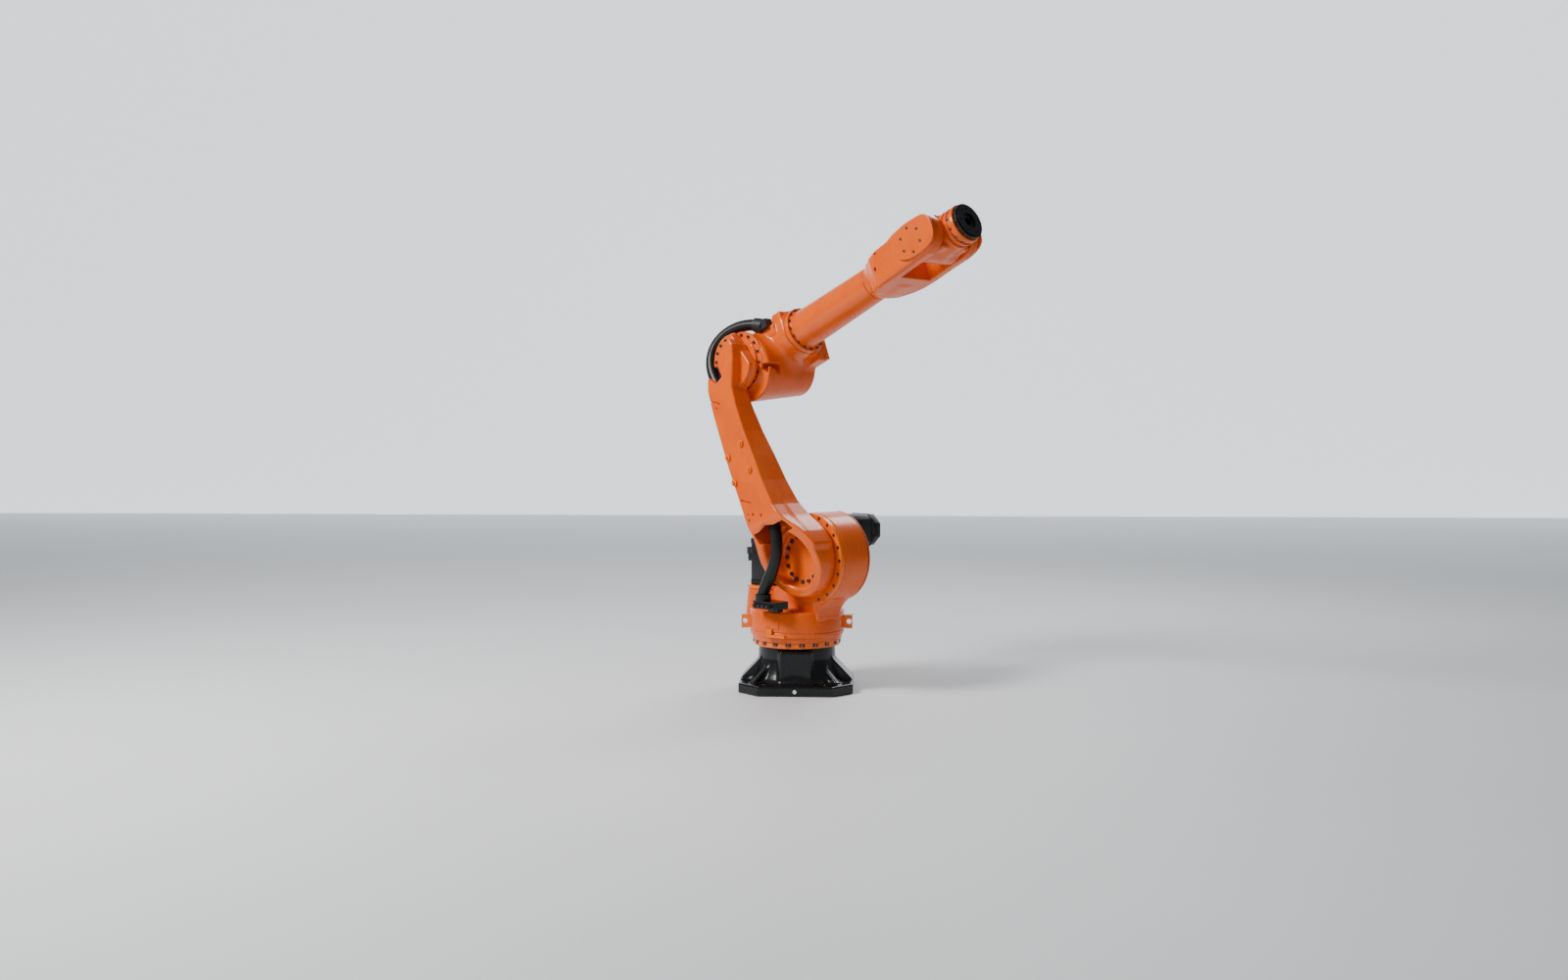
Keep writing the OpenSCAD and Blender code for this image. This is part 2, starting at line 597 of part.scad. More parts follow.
module elbow_hose_bracket() {
  color(grey) in_elbow() difference() {
    union() {
      at_hose_end() translate([0, 0, -14]) cylinder(r = 31, h = 44, $fn = 64);
      translate([94, -132, 100]) cube([63.4, 36, 36]);
    }
    translate([0, 0, roll_offset]) along_x(112.6, rear_x, 121);
    translate([0, 0, roll_offset]) cone_x(118.6, 100.6, 60, roll_face_x);
    at_hose_end() translate([0, 0, -60]) cylinder(r = hose_d / 2 + 2, h = 60.8, $fn = 64);
  }
}
// Puts +Z along the hose where it ends.
module at_hose_end() {
  d = hose_end_dir / norm(hose_end_dir);
  translate(hose_end) rotate([0, acos(d[2]), atan2(d[1], d[0])]) children();
}

// ---- forearm and wrist ----
module forearm_tube() {
  color(orange) in_roll() difference() {
    union() {
      along_x(100, roll_face_x + joint_gap, roll_face_x + 24);
      cone_x(tube_r0, tube_r1, roll_face_x + 20, wrist_seam_x);
    }
    cone_x(tube_r0 - 10, tube_r1 - 10, roll_face_x + 1, wrist_seam_x + 1);
    around_x(16, 92, roll_face_x + 24) screw_hole(5, 30);
  }
}
module forearm_flange_bolts() {
  color(steel) in_roll() around_x(16, 92, roll_face_x + 24) screw(5, 6, 18);
}
module wrist_drive_shaft() {
  color(steel) in_roll() difference() {
    along_x(26, 100, 840);
    along_x(19, 99, 841);
  }
}
module tool_drive_shaft() { color(steel) in_roll() along_x(13, 90, 846); }
function fork_half_y(x) = tube_r1 + (fork_out - tube_r1) * pow(sin(90 * min(1, max(0, (x - wrist_seam_x) / 190))), 2);
module wrist_fork() {
  color(orange) in_roll() difference() {
    union() {
      cone_x(tube_r1, fork_hz, wrist_seam_x + eps, 800);
      intersection() {
        translate([0, 0, -fork_hz]) linear_extrude(2 * fork_hz)
          polygon(concat([for (i = [0:16]) let (x = wrist_seam_x + 20 + 190 * i / 16) [x, fork_half_y(x - 20)]],
                         [[forearm_len + 150, fork_out], [forearm_len + 150, -fork_out]],
                         [for (i = [16:-1:0]) let (x = wrist_seam_x + 20 + 190 * i / 16) [x, -fork_half_y(x - 20)]]));
        union() {
          translate([600, -150, -fork_hz]) cube([forearm_len + fork_tip - 600, 300, 2 * fork_hz]);
          translate([forearm_len + fork_tip, 0, 0]) along_y(fork_hz, -150, 150);
        }
      }
    }
    translate([crotch_x, -fork_in, -200]) cube([400, 2 * fork_in, 400]);
    along_x(60, wrist_seam_x - 1, 850);
    // bearing seats of the wrist axis
    translate([forearm_len, 0, 0]) along_y(40, -140, 140);
  }
}
module fork_cap_outline() {
  polygon([for (a = [0:7.5:352.5])
    [forearm_len + 14 + 98 * sign(cos(a)) * pow(abs(cos(a)), 0.8), 67 * sign(sin(a)) * pow(abs(sin(a)), 0.8)]]);
}
module fork_cover(side) {
  color(orange) in_roll() mirror([0, side < 0 ? 1 : 0, 0]) difference() {
    slab_y(fork_out + eps, fork_out + 12) fork_cap_outline();
    translate([forearm_len, fork_out + 12, 0]) rotate([180, 0, 0]) around_y(6, 50, 0, 30) screw_hole(5, 30);
  }
}
module fork_cover_right() { fork_cover(-1); }
module fork_cover_left() { fork_cover(1); }
module fork_cover_bolts() {
  color(steel) in_roll() for (m = [0, 1]) mirror([0, m, 0]) translate([forearm_len, fork_out + 12, 0])
    rotate([180, 0, 0]) around_y(6, 50, 0, 30) screw(5, 4, 11);
}
module wrist_body() {
  color(orange) in_wrist() difference() {
    union() {
      along_y(78, -body_half, body_half);
      along_x(78, 0, 112);
      // bearing journals in the fork arms
      along_y(39, -fork_out + 4, fork_out - 4);
      cone_x(78, 72, 111, 140);
      along_x(76, 138, body_face);
    }
    along_y(24, -140, 140);
    along_x(54, 60, 200);
    // the round body stays within the fork's slot
    for (s = [-1, 1]) translate([0, s * (body_half + 60), 0]) difference() {
      cube([300, 120, 300], center = true);
      along_y(39, -70, 70);
    }
    around_x(12, 66, body_face) screw_hole(4.5, 14);
  }
}
module wrist_ring_bolts() { color(steel) in_wrist() around_x(12, 66, body_face) screw(4.5, 5, 12); }
module tool_gear_unit() {
  color(steel) in_wrist() difference() {
    union() {
      along_x(54 - eps, 70, body_face + 1);
      along_x(60, body_face + eps, body_face + 6);
    }
    along_x(16, 60, 200);
  }
}
module tool_flange() {
  color(black) in_wrist() difference() {
    union() {
      along_x(flange_r, 174, 181);
      along_x(62.5, 180, tool_len);
    }
    along_x(31.5, tool_len - 8, tool_len + 1);
    along_x(16, 150, tool_len + 1);
    around_x(6, 50, 170, 30) cylinder(r = 3.4, h = 40, $fn = 32);
    around_x(1, 50, 172) cylinder(r = 4, h = 40, $fn = 32);
  }
}

base_frame();
base_service_panel();
power_connector();
signal_connector();
front_level_plug();
swing_gear_unit();
swing_cable_tube();
column_frame();
column_base_ring();
column_ring_bolts();
column_lugs();
column_lug_bolts();
swing_stop_bracket();
swing_motor_seat();
swing_motor();
swing_motor_plugs();
shoulder_gear_ring();
shoulder_ring_bolts();
shoulder_gear_unit();
shoulder_drum_cover();
shoulder_cover_bolts();
shoulder_motor();
shoulder_motor_plugs();
hose_junction_box();
hose_junction_plugs();
energy_hose_lower();
link_arm_frame();
link_hub_bolts();
link_elbow_bolts();
link_bosses();
link_hose_clamps();
energy_hose_middle();
energy_hose_upper();
elbow_housing();
elbow_flange_ring();
elbow_ring_bolts();
elbow_gear_unit();
elbow_motor();
elbow_end_cover();
elbow_cover_bolts();
roll_gear_unit();
rear_motor_plate();
roll_motor();
wrist_motor();
tool_motor();
wrist_motor_plugs();
elbow_side_box();
elbow_hose_bracket();
forearm_tube();
forearm_flange_bolts();
wrist_drive_shaft();
tool_drive_shaft();
wrist_fork();
fork_cover_right();
fork_cover_left();
fork_cover_bolts();
wrist_body();
wrist_ring_bolts();
tool_gear_unit();
tool_flange();
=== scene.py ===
"""Looks of the six-axis robot arm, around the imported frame. Shapes are in millimetres in their own frames."""
import json
import math

import bpy
import numpy as np
from mathutils import Matrix, Vector


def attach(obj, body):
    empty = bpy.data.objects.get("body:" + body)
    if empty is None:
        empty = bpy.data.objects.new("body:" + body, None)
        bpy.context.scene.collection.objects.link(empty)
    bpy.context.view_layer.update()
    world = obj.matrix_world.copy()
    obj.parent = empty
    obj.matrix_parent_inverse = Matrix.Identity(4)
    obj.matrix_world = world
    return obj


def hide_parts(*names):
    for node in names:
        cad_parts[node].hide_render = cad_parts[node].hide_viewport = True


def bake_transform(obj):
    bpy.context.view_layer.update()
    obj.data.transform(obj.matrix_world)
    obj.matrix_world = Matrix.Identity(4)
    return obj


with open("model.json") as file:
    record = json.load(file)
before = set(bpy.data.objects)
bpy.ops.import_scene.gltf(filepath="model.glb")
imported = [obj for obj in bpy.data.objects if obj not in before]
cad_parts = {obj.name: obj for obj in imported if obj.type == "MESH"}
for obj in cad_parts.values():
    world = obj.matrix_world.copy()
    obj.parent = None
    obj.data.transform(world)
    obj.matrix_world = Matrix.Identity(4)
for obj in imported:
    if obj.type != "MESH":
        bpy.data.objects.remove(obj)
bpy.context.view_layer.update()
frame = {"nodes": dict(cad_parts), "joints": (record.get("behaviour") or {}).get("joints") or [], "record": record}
MM = 0.001

# ---------------------------------------------------------------------------
# Frames of the moving bodies, from the joints
# ---------------------------------------------------------------------------
JOINTS = {joint["name"]: joint for joint in frame["joints"]}
UP = Vector((0, 0, 1))
SIDE = Vector(JOINTS["shoulder_joint"]["axis"])
SHOULDER = Vector(JOINTS["shoulder_joint"]["pos_m"])
ELBOW = Vector(JOINTS["elbow_joint"]["pos_m"])
ROLL = Vector(JOINTS["forearm_roll_joint"]["pos_m"])
WRIST = Vector(JOINTS["wrist_tilt_joint"]["pos_m"])
REACH = Vector(JOINTS["forearm_roll_joint"]["axis"])
LINK_UP = (ELBOW - SHOULDER).normalized()


def placed(origin, x_axis, y_axis):
    """Matrix from a part's own millimetre frame to the row frame in metres."""
    z_axis = x_axis.cross(y_axis)
    turn = Matrix((x_axis, y_axis, z_axis)).transposed().to_4x4()
    return Matrix.Translation(origin) @ turn @ Matrix.Scale(MM, 4)


IN_BASE = Matrix.Scale(MM, 4)
IN_COLUMN = placed(Vector((0, 0, 0)), SIDE.cross(UP), SIDE)
IN_LINK = placed(SHOULDER, SIDE.cross(LINK_UP), SIDE)
IN_ELBOW = placed(ELBOW, REACH, SIDE)
IN_ROLL = placed(ROLL, REACH, SIDE)
IN_WRIST = placed(WRIST, REACH, SIDE)

SHOULDER_X = IN_COLUMN.inverted() @ SHOULDER
LINK_LENGTH = (ELBOW - SHOULDER).length / MM
ROLL_OFFSET = (ROLL - ELBOW).length / MM
FOREARM_LENGTH = (WRIST - ROLL).length / MM
SHOULDER_AT = (SHOULDER_X[0], SHOULDER_X[2])


# ---------------------------------------------------------------------------
# Distance fields: castings are unions and cuts of simple solids with round fillets
# ---------------------------------------------------------------------------
def outside(*distances):
    """Length of the positive parts, as at a box's corner."""
    return np.sqrt(sum(np.maximum(d, 0) ** 2 for d in distances))


def both(a, b, edge=0.0):
    """Intersection whose edge is rounded to a radius."""
    if not edge:
        return np.maximum(a, b)
    return np.minimum(-edge, np.maximum(a, b)) + outside(a + edge, b + edge)


def either(a, b, fillet=0.0):
    """Union whose inner corner is filled to a radius."""
    if not fillet:
        return np.minimum(a, b)
    return np.maximum(fillet, np.minimum(a, b)) - outside(fillet - a, fillet - b)


def without(a, b, edge=0.0):
    """Solid a with b cut away, and the cut's rim rounded."""
    return both(a, -b, edge)


AXES = {"x": 0, "y": 1, "z": 2}


def split(p, axis):
    """The two coordinates across an axis, in X, Y, Z order, and the one along it."""
    k = AXES[axis]
    across = [p[i] for i in range(3) if i != k]
    return across[0], across[1], p[k]


def slab(t, low, high):
    """Distance to the layer between two values of one coordinate."""
    return np.abs(t - (low + high) / 2) - (high - low) / 2


def rod(p, axis, centre, radius, low, high, edge=4.0):
    """Cylinder along an axis with rounded rims; the radius may be (at low, at high)."""
    u, v, t = split(p, axis)
    r0, r1 = radius if isinstance(radius, tuple) else (radius, radius)
    share = np.clip((t - low) / (high - low), 0, 1)
    slope = (r1 - r0) / (high - low)
    side = (np.hypot(u - centre[0], v - centre[1]) - (r0 + (r1 - r0) * share)) / math.sqrt(1 + slope * slope)
    return both(side, slab(t, low, high), edge)


def block(p, low, high, edge=4.0):
    """Box between two corners with rounded edges."""
    half = [(b - a) / 2 - edge for a, b in zip(low, high)]
    q = [np.abs(p[i] - (low[i] + high[i]) / 2) - half[i] for i in range(3)]
    return outside(*q) + np.minimum(np.maximum(np.maximum(q[0], q[1]), q[2]), 0) - edge


def outline(u, v, points):
    """Signed distance to a closed polygon in two coordinates."""
    points = np.asarray(points, float)
    best = np.full(np.shape(u), 1e18)
    inside = np.zeros(np.shape(u), bool)
    for (ax, ay), (bx, by) in zip(points, np.roll(points, -1, 0)):
        ex, ey = bx - ax, by - ay
        wx, wy = u - ax, v - ay
        share = np.clip((wx * ex + wy * ey) / (ex * ex + ey * ey), 0, 1)
        best = np.minimum(best, (wx - ex * share) ** 2 + (wy - ey * share) ** 2)
        if ey:
            inside ^= ((ay <= v) != (by <= v)) & (u < ax + (v - ay) * ex / ey)
    return np.where(inside, -1, 1) * np.sqrt(best)


def plate(p, axis, points, low, high, edge=4.0):
    """Outline across an axis, extruded along it, with rounded rims."""
    u, v, t = split(p, axis)
    return both(outline(u, v, points), slab(t, low, high), edge)


def beyond(p, point, normal):
    """Distance past a plane: negative behind it, positive where the normal points."""
    n = np.asarray(normal, float)
    n /= np.linalg.norm(n)
    return sum((p[i] - point[i]) * n[i] for i in range(3))


def tilted(p, axis, degrees, about=(0, 0)):
    """Coordinates turned about an axis, to model a part that leans."""
    c, s = math.cos(math.radians(degrees)), math.sin(math.radians(degrees))
    k = AXES[axis]
    i, j = [n for n in range(3) if n != k]
    out = list(p)
    u, v = p[i] - about[0], p[j] - about[1]
    out[i], out[j] = about[0] + c * u + s * v, about[1] - s * u + c * v
    return out


def ring_places(count, radius, first=0.0, span=360.0):
    """Points spread evenly over part of a circle, as (u, v)."""
    closed = span == 360.0
    steps = count if closed else max(count - 1, 1)
    angles = [math.radians(first + span * i / steps) for i in range(count)]
    return [(radius * math.cos(a), radius * math.sin(a)) for a in angles]


CELL_CORNERS = [(i, j, k) for i in (0, 1) for j in (0, 1) for k in (0, 1)]
CELL_EDGES = [(a, b) for a in CELL_CORNERS for b in CELL_CORNERS
              if sum(b) - sum(a) == 1 and all(x <= y for x, y in zip(a, b))]


def surface(field, low, high, step):
    """Mesh of a field's zero surface: one vertex in each crossed cell, pulled onto the surface."""
    axes = [np.arange(a - 2 * step, b + 3 * step, step) for a, b in zip(low, high)]
    grid = np.meshgrid(*axes, indexing="ij")
    values = field(grid).astype(np.float32)
    shape = tuple(n - 1 for n in values.shape)

    def corner(offset):
        return values[tuple(slice(o, o + n) for o, n in zip(offset, shape))]

    filled = sum((corner(c) < 0).astype(np.int8) for c in CELL_CORNERS)
    cells = np.argwhere((filled > 0) & (filled < 8))
    number = np.full(shape, -1, np.int64)
    number[tuple(cells.T)] = np.arange(len(cells))
    total, hits = np.zeros((len(cells), 3)), np.zeros(len(cells))
    for a, b in CELL_EDGES:
        va = values[tuple((cells + a).T)]
        vb = values[tuple((cells + b).T)]
        crossed = (va < 0) != (vb < 0)
        share = np.where(crossed, va / np.where(crossed, va - vb, 1), 0)
        point = np.array(a) + share[:, None] * (np.array(b) - np.array(a))
        total += point * crossed[:, None]
        hits += crossed
    points = (cells + total / hits[:, None]) * step + [a[0] for a in axes]
    quads = []
    for k in range(3):
        i, j = (k + 1) % 3, (k + 2) % 3
        ahead = np.roll(values, -1, k) < 0
        here = values < 0
        inner = np.argwhere(here != ahead)
        inner = inner[(inner[:, k] < values.shape[k] - 1) & (inner[:, i] > 0) & (inner[:, j] > 0)
                      & (inner[:, i] < values.shape[i] - 1) & (inner[:, j] < values.shape[j] - 1)]
        step_i, step_j = np.eye(3, dtype=int)[i], np.eye(3, dtype=int)[j]
        around = [inner - step_i - step_j, inner - step_j, inner, inner - step_i]
        quad = np.stack([number[tuple(c.T)] for c in around], 1)
        outward = here[tuple(inner.T)]
        quad[~outward] = quad[~outward][:, ::-1]
        quads.append(quad)
    for _ in range(3):
        gradient, value = slope_of(field, points, step * 0.25)
        move = -value[:, None] * gradient / np.maximum((gradient ** 2).sum(1), 0.25)[:, None]
        points += np.clip(move, -0.45 * step, 0.45 * step)
    return points, np.concatenate(quads), slope_of(field, points, step * 0.25)[0]


def slope_of(field, points, reach):
    """Gradient and value of a field at scattered points."""
    gradient = np.zeros_like(points)
    for k in range(3):
        shift = np.eye(3)[k] * reach
        gradient[:, k] = (field(list((points + shift).T)) - field(list((points - shift).T))) / (2 * reach)
    return gradient, field(list(points.T))


# ---------------------------------------------------------------------------
# Mesh objects
# ---------------------------------------------------------------------------
def new_object(name, points, faces, matrix, material, smooth=True, normals=None):
    """Object from points in a part's own frame."""
    mesh = bpy.data.meshes.new(name)
    turned = np.asarray(points, float) @ np.array(matrix.to_3x3()).T + np.array(matrix.translation)
    mesh.from_pydata(turned.tolist(), [], [list(map(int, f)) for f in faces])
    mesh.validate()
    mesh.materials.append(material)
    mesh.shade_smooth() if smooth else mesh.shade_flat()
    if normals is not None:
        aimed = normals @ (np.array(matrix.to_3x3()).T / MM)
        aimed /= np.maximum(np.linalg.norm(aimed, axis=1), 1e-9)[:, None]
        mesh.normals_split_custom_set_from_vertices(aimed.tolist())
    piece = bpy.data.objects.new(name, mesh)
    bpy.context.scene.collection.objects.link(piece)
    return piece


def casting(name, field, low, high, step, matrix, material):
    """Object of a distance field between two corners."""
    points, faces, normals = surface(field, low, high, step)
    return new_object(name, points, faces, matrix, material, normals=normals)


def finish_piece(piece, body, slot, *nodes):
    """Fastens a piece to its body, and hides the CAD nodes that it stands for."""
    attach(piece, body)
    if nodes:
        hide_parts(*nodes)
    return piece


def bevelled(piece, width, segments=3, angle=30):
    """Rounds a piece's sharp edges by a width in millimetres."""
    bevel = piece.modifiers.new("bevel", "BEVEL")
    bevel.width = width * MM
    bevel.segments = segments
    bevel.limit_method = "ANGLE"
    bevel.angle_limit = math.radians(angle)
    bevel.harden_normals = True
    return piece


def lathe_mesh(profile, sides=96):
    """Points and faces of a (radius, height) profile turned about Z; radius 0 closes an end."""
    points, faces, rings = [], [], []
    for radius, height in profile:
        if radius <= 0:
            rings.append([len(points)] * sides)
            points.append((0, 0, height))
            continue
        rings.append(list(range(len(points), len(points) + sides)))
        turn = [2 * math.pi * k / sides for k in range(sides)]
        points += [(radius * math.cos(a), radius * math.sin(a), height) for a in turn]
    for lower, upper in zip(rings, rings[1:]):
        for k in range(sides):
            m = (k + 1) % sides
            quad = [lower[k], lower[m], upper[m], upper[k]]
            face = [v for n, v in enumerate(quad) if v not in quad[:n]]
            if len(face) > 2:
                faces.append(face)
    return np.array(points, float), faces


TURNS = {
    "z": Matrix.Identity(4),
    "x": Matrix(((0, 0, 1, 0), (1, 0, 0, 0), (0, 1, 0, 0), (0, 0, 0, 1))),
    "y": Matrix(((0, 1, 0, 0), (0, 0, 1, 0), (1, 0, 0, 0), (0, 0, 0, 1))),
}


def turned(name, profile, matrix, axis, at, material, bevel=1.5, sides=96):
    """Turned part: its profile's heights run along an axis from the point at."""
    points, faces = lathe_mesh(profile, sides)
    place = matrix @ Matrix.Translation(at) @ TURNS[axis]
    piece = new_object(name, points, faces, place, material)
    if bevel:
        bevelled(piece, bevel)
    return piece


def prism(name, points2d, low, high, matrix, axis, at, material, bevel=2.0):
    """Flat outline extruded from low to high along an axis from the point at."""
    count = len(points2d)
    points = [(u, v, low) for u, v in points2d] + [(u, v, high) for u, v in points2d]
    faces = [list(range(count))[::-1], list(range(count, 2 * count))]
    faces += [[k, (k + 1) % count, count + (k + 1) % count, count + k] for k in range(count)]
    place = matrix @ Matrix.Translation(at) @ TURNS[axis]
    piece = new_object(name, points, faces, place, material)
    return bevelled(piece, bevel) if bevel else piece


def joined(name, pieces):
    """One object from several, with their modifiers applied."""
    points, faces = [], []
    graph = bpy.context.evaluated_depsgraph_get()
    material = pieces[0].data.materials[0]
    for piece in pieces:
        mesh = bpy.data.meshes.new_from_object(piece.evaluated_get(graph))
        start = len(points)
        points += [tuple(piece.matrix_world @ v.co) for v in mesh.vertices]
        faces += [[start + v for v in face.vertices] for face in mesh.polygons]
        bpy.data.meshes.remove(mesh)
    for piece in pieces:
        bpy.data.objects.remove(piece)
    mesh = bpy.data.meshes.new(name)
    mesh.from_pydata(points, [], faces)
    mesh.materials.append(material)
    mesh.shade_smooth()
    mesh.set_sharp_from_angle(angle=math.radians(35))
    whole = bpy.data.objects.new(name, mesh)
    bpy.context.scene.collection.objects.link(whole)
    return whole


# ---------------------------------------------------------------------------
# Materials
# ---------------------------------------------------------------------------
def shader(name, colour, roughness, metallic=0.0, coat=0.0):
    """Material with a Principled shader; returns the material, its nodes, its links and the shader."""
    material = bpy.data.materials.new(name)
    material.use_nodes = True
    tree = material.node_tree
    principled = tree.nodes["Principled BSDF"]
    principled.inputs["Base Color"].default_value = (*colour, 1)
    principled.inputs["Roughness"].default_value = roughness
    principled.inputs["Metallic"].default_value = metallic
    principled.inputs["Coat Weight"].default_value = coat
    principled.inputs["Coat Roughness"].default_value = 0.12
    return material, tree.nodes, tree.links, principled


def noise(nodes, links, scale, detail=3.0, distortion=0.0):
    """Noise in object space, at a scale per metre."""
    where = nodes.new("ShaderNodeTexCoord")
    texture = nodes.new("ShaderNodeTexNoise")
    texture.inputs["Scale"].default_value = scale
    texture.inputs["Detail"].default_value = detail
    texture.inputs["Distortion"].default_value = distortion
    links.new(where.outputs["Object"], texture.inputs["Vector"])
    return texture.outputs["Fac"]


def ramp(nodes, links, source, stops):
    """Colour ramp over a value; stops are (position, colour)."""
    node = nodes.new("ShaderNodeValToRGB")
    node.color_ramp.elements[0].position, node.color_ramp.elements[0].color = stops[0][0], (*stops[0][1], 1)
    node.color_ramp.elements[1].position, node.color_ramp.elements[1].color = stops[-1][0], (*stops[-1][1], 1)
    for position, colour in stops[1:-1]:
        node.color_ramp.elements.new(position).color = (*colour, 1)
    links.new(source, node.inputs["Fac"])
    return node.outputs["Color"]


def spread(nodes, links, source, low, high):
    """A 0 to 1 value mapped to a range."""
    node = nodes.new("ShaderNodeMapRange")
    node.inputs["To Min"].default_value = low
    node.inputs["To Max"].default_value = high
    links.new(source, node.inputs["Value"])
    return node.outputs["Result"]


def bump(nodes, links, principled, source, height, distance=0.001):
    """Surface relief from a value."""
    node = nodes.new("ShaderNodeBump")
    node.inputs["Strength"].default_value = height
    node.inputs["Distance"].default_value = distance
    links.new(source, node.inputs["Height"])
    links.new(node.outputs["Normal"], principled.inputs["Normal"])


def orange_paint():
    """Glossy orange over a cast surface: a fine grain, faint colour drift, and a painted highlight of paler orange
    on the convex edges.
    """
    base, deep, pale = (0.82, 0.112, 0.0), (0.74, 0.092, 0.0), (0.90, 0.17, 0.004)
    material, nodes, links, principled = shader("orange_paint", base, 0.3, coat=0.2)
    principled.inputs["Specular IOR Level"].default_value = 0.3
    drift = ramp(nodes, links, noise(nodes, links, 9, 4), [(0.3, deep), (0.55, base), (0.8, base)])
    # Painted highlight: sharp convex edges (high pointiness) are mixed towards a paler orange, as if caught by
    # light.
    edges = nodes.new("ShaderNodeNewGeometry").outputs["Pointiness"]
    painted_edge_highlight = ramp(nodes, links, edges, [(0.53, (0, 0, 0)), (0.62, (1, 1, 1))])
    mix = nodes.new("ShaderNodeMix")
    mix.data_type = "RGBA"
    mix.inputs["B"].default_value = (*pale, 1)
    links.new(painted_edge_highlight, mix.inputs["Factor"])
    links.new(drift, mix.inputs["A"])
    links.new(mix.outputs["Result"], principled.inputs["Base Color"])
    links.new(spread(nodes, links, noise(nodes, links, 30, 5), 0.22, 0.36), principled.inputs["Roughness"])
    bump(nodes, links, principled, noise(nodes, links, 220, 4), 0.10)
    return material


def dark_paint(name, colour, grain, roughness):
    """Satin black over cast or moulded parts, with a fine grain and dusty patches."""
    material, nodes, links, principled = shader(name, colour, roughness, coat=0.1)
    principled.inputs["Specular IOR Level"].default_value = 0.3
    dusty = tuple(c * 1.6 + 0.001 for c in colour)
    patches = ramp(nodes, links, noise(nodes, links, 14, 5), [(0.35, colour), (0.75, dusty)])
    links.new(patches, principled.inputs["Base Color"])
    links.new(spread(nodes, links, noise(nodes, links, 60, 4), roughness - 0.1, roughness + 0.12),
              principled.inputs["Roughness"])
    bump(nodes, links, principled, noise(nodes, links, grain, 3), 0.12)
    return material


def steel(name, colour, roughness):
    """Machined or blackened steel with fine streaks."""
    material, nodes, links, principled = shader(name, colour, roughness, metallic=1.0)
    streaks = noise(nodes, links, 120, 6, 2.0)
    dark = tuple(c * 0.7 for c in colour)
    links.new(ramp(nodes, links, streaks, [(0.3, dark), (0.7, colour)]), principled.inputs["Base Color"])
    uneven = spread(nodes, links, streaks, roughness - 0.08, roughness + 0.1)
    links.new(uneven, principled.inputs["Roughness"])
    bump(nodes, links, principled, streaks, 0.05)
    return material


ORANGE = orange_paint()
BLACK = dark_paint("black_paint", (0.004, 0.0048, 0.0058), 260, 0.26)
MOTOR = dark_paint("motor_black", (0.0045, 0.005, 0.006), 400, 0.42)
PLASTIC = dark_paint("dark_grey_plastic", (0.016, 0.017, 0.020), 700, 0.5)
HOSE = dark_paint("hose_rubber", (0.0035, 0.0035, 0.004), 500, 0.42)
STEEL = steel("machined_steel", (0.15, 0.145, 0.14), 0.42)
WHITE = dark_paint("white_plastic", (0.70, 0.72, 0.75), 500, 0.35)
SLOT_MATERIALS = {
    "orange_paint": ORANGE, "black_paint": BLACK, "motor_black": MOTOR, "dark_grey_plastic": PLASTIC,
    "hose_rubber": HOSE, "machined_steel": STEEL, "white_plastic": WHITE,
}
for part in frame["record"]["subparts"]:
    kept = frame["nodes"][part["node"]]
    kept.data.materials.clear()
    kept.data.materials.append(SLOT_MATERIALS[part["material_slot"]])


# ---------------------------------------------------------------------------
# Camera, lights and floor
# ---------------------------------------------------------------------------
def make_camera():
    """Camera at the angle of the view: in front of the base, a little to its left."""
    camera = bpy.data.objects.new("camera", bpy.data.cameras.new("camera"))
    camera.data.sensor_width = 36
    camera.data.lens = 31.455
    heading = math.radians(2.5)
    toward = Vector((math.cos(heading), math.sin(heading), 0))
    right = Vector((-math.sin(heading), math.cos(heading), 0))
    camera.location = toward * 5.893 + UP * 1.106
    yaw, pitch = math.radians(-0.55), math.radians(-2.47)
    level = right * math.sin(yaw) - toward * math.cos(yaw)
    aim = level * math.cos(pitch) + UP * math.sin(pitch)
    camera.rotation_euler = aim.to_track_quat("-Z", "Y").to_euler()
    bpy.context.scene.collection.objects.link(camera)
    bpy.context.scene.camera = camera


def area_light(name, at, size, power, colour=(1, 1, 1)):
    """Soft square light aimed at the middle of the arm."""
    light = bpy.data.objects.new(name, bpy.data.lights.new(name, "AREA"))
    light.data.size = size
    light.data.energy = power
    light.data.color = colour
    light.location = at
    light.rotation_euler = (Vector((0, 0, 0.9)) - Vector(at)).to_track_quat("-Z", "Y").to_euler()
    bpy.context.scene.collection.objects.link(light)


def make_studio():
    """Pale floor and soft lights."""
    world = bpy.data.worlds.new("world")
    bpy.context.scene.world = world
    world.use_nodes = True
    world.node_tree.nodes["Background"].inputs["Color"].default_value = (0.90, 0.95, 1.0, 1)
    world.node_tree.nodes["Background"].inputs["Strength"].default_value = 0.24
    area_light("key_light", (2.4, -3.8, 4.4), 1.5, 390, (1, 0.98, 0.95))
    area_light("rim_light", (-3.0, 1.8, 3.8), 1.6, 70)
    material, nodes, links, principled = shader("floor_paint", (0.86, 0.88, 0.90), 0.6)
    tones = [(0.3, (0.85, 0.87, 0.89)), (0.7, (0.88, 0.90, 0.92))]
    links.new(ramp(nodes, links, noise(nodes, links, 0.8, 3), tones), principled.inputs["Base Color"])
    half = 30000
    floor = new_object("floor", [(-half, -half, 0), (half, -half, 0), (half, half, 0), (-half, half, 0)],
                       [[0, 1, 2, 3]], IN_BASE, material, smooth=False)


def make_backdrop():
    """Pale wall far behind the arm, as bright as a lit studio paper."""
    glow, _, _, principled = shader("backdrop_glow", (0.2, 0.2, 0.2), 0.5)
    principled.inputs["Emission Color"].default_value = (0.90, 0.95, 1.0, 1)
    principled.inputs["Emission Strength"].default_value = 1.5
    x, half, top = -12000, 13000, 9000
    corners = [(x, -half, 0), (x, half, 0), (x, half, top), (x, -half, top)]
    new_object("backdrop", corners, [[0, 1, 2, 3]], IN_BASE, glow, smooth=False)


